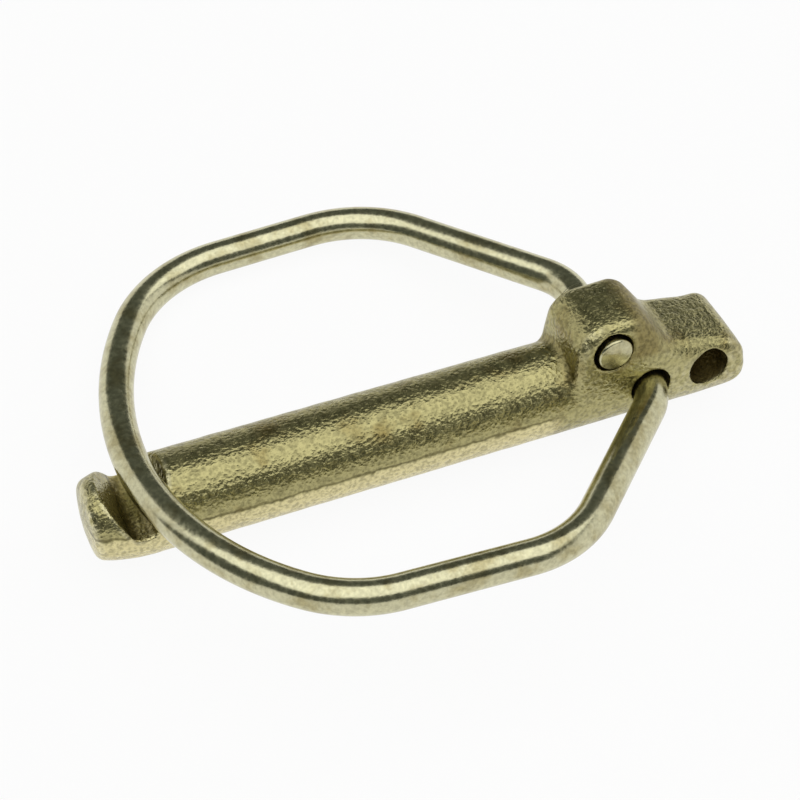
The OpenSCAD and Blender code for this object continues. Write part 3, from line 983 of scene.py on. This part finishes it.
class LYNCHPIN_OT_stage(bpy.types.Operator):
    """Set the pale floor, the soft studio light and the camera"""

    bl_idname = "lynchpin.stage"
    bl_label = "Stage"

    def execute(self, context):
        scene = context.scene
        finish = scene.lynchpin_finish
        tilt = Matrix.Rotation(ROLL, 4, "X")

        # Camera: direction from the aim point, in the pin's own frame, then rolled with the pin
        azimuth, elevation, turn = CAMERA_AZIMUTH, CAMERA_ELEVATION, CAMERA_TURN
        back = Vector((-math.sin(azimuth) * math.cos(elevation),
                       -math.cos(azimuth) * math.cos(elevation), math.sin(elevation)))
        side = Vector((math.cos(azimuth), -math.sin(azimuth), 0))
        up = back.cross(side)
        right = side * math.cos(turn) + up * math.sin(turn)
        upward = up * math.cos(turn) - side * math.sin(turn)
        aim = Vector((LOWER_HOLE[0], 0, 0)) - right * AIM_LEFT - upward * AIM_BELOW
        place = aim + back * CAMERA_DISTANCE
        turned = Matrix((right, upward, back)).transposed().to_4x4()
        data = bpy.data.cameras.new("camera")
        data.lens, data.sensor_width = LENS, SENSOR_WIDTH
        data.clip_start, data.clip_end = 0.01, 20.0
        camera = bpy.data.objects.new("camera", data)
        camera.matrix_world = tilt @ Matrix.Translation(place * MM) @ turned
        scene.collection.objects.link(camera)
        scene.camera = camera

        floor = add_object("floor", self.sheet("floor", FLOOR_HALF, FLOOR_Z))
        floor.data.materials.append(self.floor_paint(finish))

        # Upright white boards carry the floor's white up: a low one in front of the pin, and a
        # taller one to each side
        for name, start, end, height in BOARDS:
            board = add_object(name, self.board(name, start, end, height))
            board.data.materials.append(floor.data.materials[0])

        # One wide softbox overhead, level with the pin's own frame and forward of it
        self.softbox("overhead_softbox", tilt)

        world = bpy.data.worlds.new("studio")
        scene.world = world
        world.use_nodes = True
        tree = world.node_tree
        tree.nodes.clear()
        output = tree.nodes.new("ShaderNodeOutputWorld")
        room = add_node(tree, "ShaderNodeBackground", None, Color=linear(ROOM), Strength=1.0)
        tree.links.new(room.outputs[0], output.inputs["Surface"])
        scene.view_settings.view_transform = "Standard"
        return {"FINISHED"}

    def sheet(self, name, half, z):
        """A flat square of the given half-width at height z."""
        mesh = bpy.data.meshes.new(name)
        mesh.from_pydata([(-half, -half, z), (half, -half, z), (half, half, z), (-half, half, z)],
                         [], [(0, 1, 2, 3)])
        return mesh

    def board(self, name, start, end, height):
        """An upright board that stands on the floor along the line from start to end."""
        mesh = bpy.data.meshes.new(name)
        low, high = FLOOR_Z, FLOOR_Z + height
        mesh.from_pydata([(*start, low), (*end, low), (*end, high), (*start, high)],
                         [], [(3, 2, 1, 0)])
        return mesh

    def floor_paint(self, finish):
        """Matt white board. Part of its light is its own where the camera or a reflection sees it,
        so that it reads white, and the rest is the lamps', which keeps the pin's shadow."""
        material, tree, output = new_material("matt_white_board")
        board = add_node(tree, "ShaderNodeBsdfDiffuse", None, Color=linear(finish.floor))
        glow = add_node(tree, "ShaderNodeEmission", None, Color=(1, 1, 1, 1), Strength=1.0)
        path = add_node(tree, "ShaderNodeLightPath")
        seen = add_node(tree, "ShaderNodeMath", {"operation": "MAXIMUM"},
                        _0=path.outputs["Is Camera Ray"], _1=path.outputs["Is Glossy Ray"])
        seen = add_node(tree, "ShaderNodeMath", {"operation": "MAXIMUM"},
                        _0=seen.outputs[0], _1=path.outputs["Is Transmission Ray"])
        share = add_node(tree, "ShaderNodeMath", {"operation": "MULTIPLY"},
                         _0=seen.outputs[0], _1=GLOW_SHARE)
        mix = add_node(tree, "ShaderNodeMixShader", None,
                       Fac=share.outputs[0], _1=board.outputs[0], _2=glow.outputs[0])
        tree.links.new(mix.outputs[0], output.inputs["Surface"])
        return material

    def softbox(self, name, tilt):
        """A rectangular lamp that shines down, square to the pin's own frame."""
        data = bpy.data.lights.new(name, "AREA")
        data.shape, data.energy = "RECTANGLE", SOFTBOX_WATTS
        data.size, data.size_y = SOFTBOX_SIZE
        lamp = bpy.data.objects.new(name, data)
        aim = Vector((0, 0, 1)).to_track_quat("Z", "Y").to_matrix().to_4x4()
        lamp.matrix_world = tilt @ Matrix.Translation(Vector(SOFTBOX_PLACE) * MM) @ aim
        bpy.context.scene.collection.objects.link(lamp)


class LYNCHPIN_PT_panel(bpy.types.Panel):
    """Lists the lynch pin's pieces and their sizes"""

    bl_idname = "LYNCHPIN_PT_panel"
    bl_label = "Lynch Pin"
    bl_space_type = "VIEW_3D"
    bl_region_type = "UI"
    bl_category = "Lynch Pin"

    def draw(self, context):
        layout, scene = self.layout, context.scene
        for operator, group in (
            (LYNCHPIN_OT_forging, scene.lynchpin_forging),
            (LYNCHPIN_OT_ring, scene.lynchpin_ring),
            (LYNCHPIN_OT_stage, scene.lynchpin_finish),
        ):
            box = layout.box()
            box.operator(operator.bl_idname)
            for item in group.bl_rna.properties:
                if item.identifier not in ("rna_type", "name"):
                    box.prop(group, item.identifier)


CLASSES = (
    LynchPinForging,
    LynchPinRing,
    LynchPinFinish,
    LYNCHPIN_OT_forging,
    LYNCHPIN_OT_ring,
    LYNCHPIN_OT_stage,
    LYNCHPIN_PT_panel,
)
GROUPS = {
    "lynchpin_forging": LynchPinForging,
    "lynchpin_ring": LynchPinRing,
    "lynchpin_finish": LynchPinFinish,
}


def register():
    """Registers the classes and gives the scene its three groups."""
    for cls in CLASSES:
        bpy.utils.register_class(cls)
    for name, group in GROUPS.items():
        setattr(bpy.types.Scene, name, bpy.props.PointerProperty(type=group))


def unregister():
    """Takes the groups off the scene and unregisters the classes."""
    for name in GROUPS:
        delattr(bpy.types.Scene, name)
    for cls in reversed(CLASSES):
        bpy.utils.unregister_class(cls)


def main():
    register()
    bpy.ops.lynchpin.stage()
    bpy.ops.lynchpin.forging()
    bpy.ops.lynchpin.ring()
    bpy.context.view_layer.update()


if __name__ == "__main__":
    main()
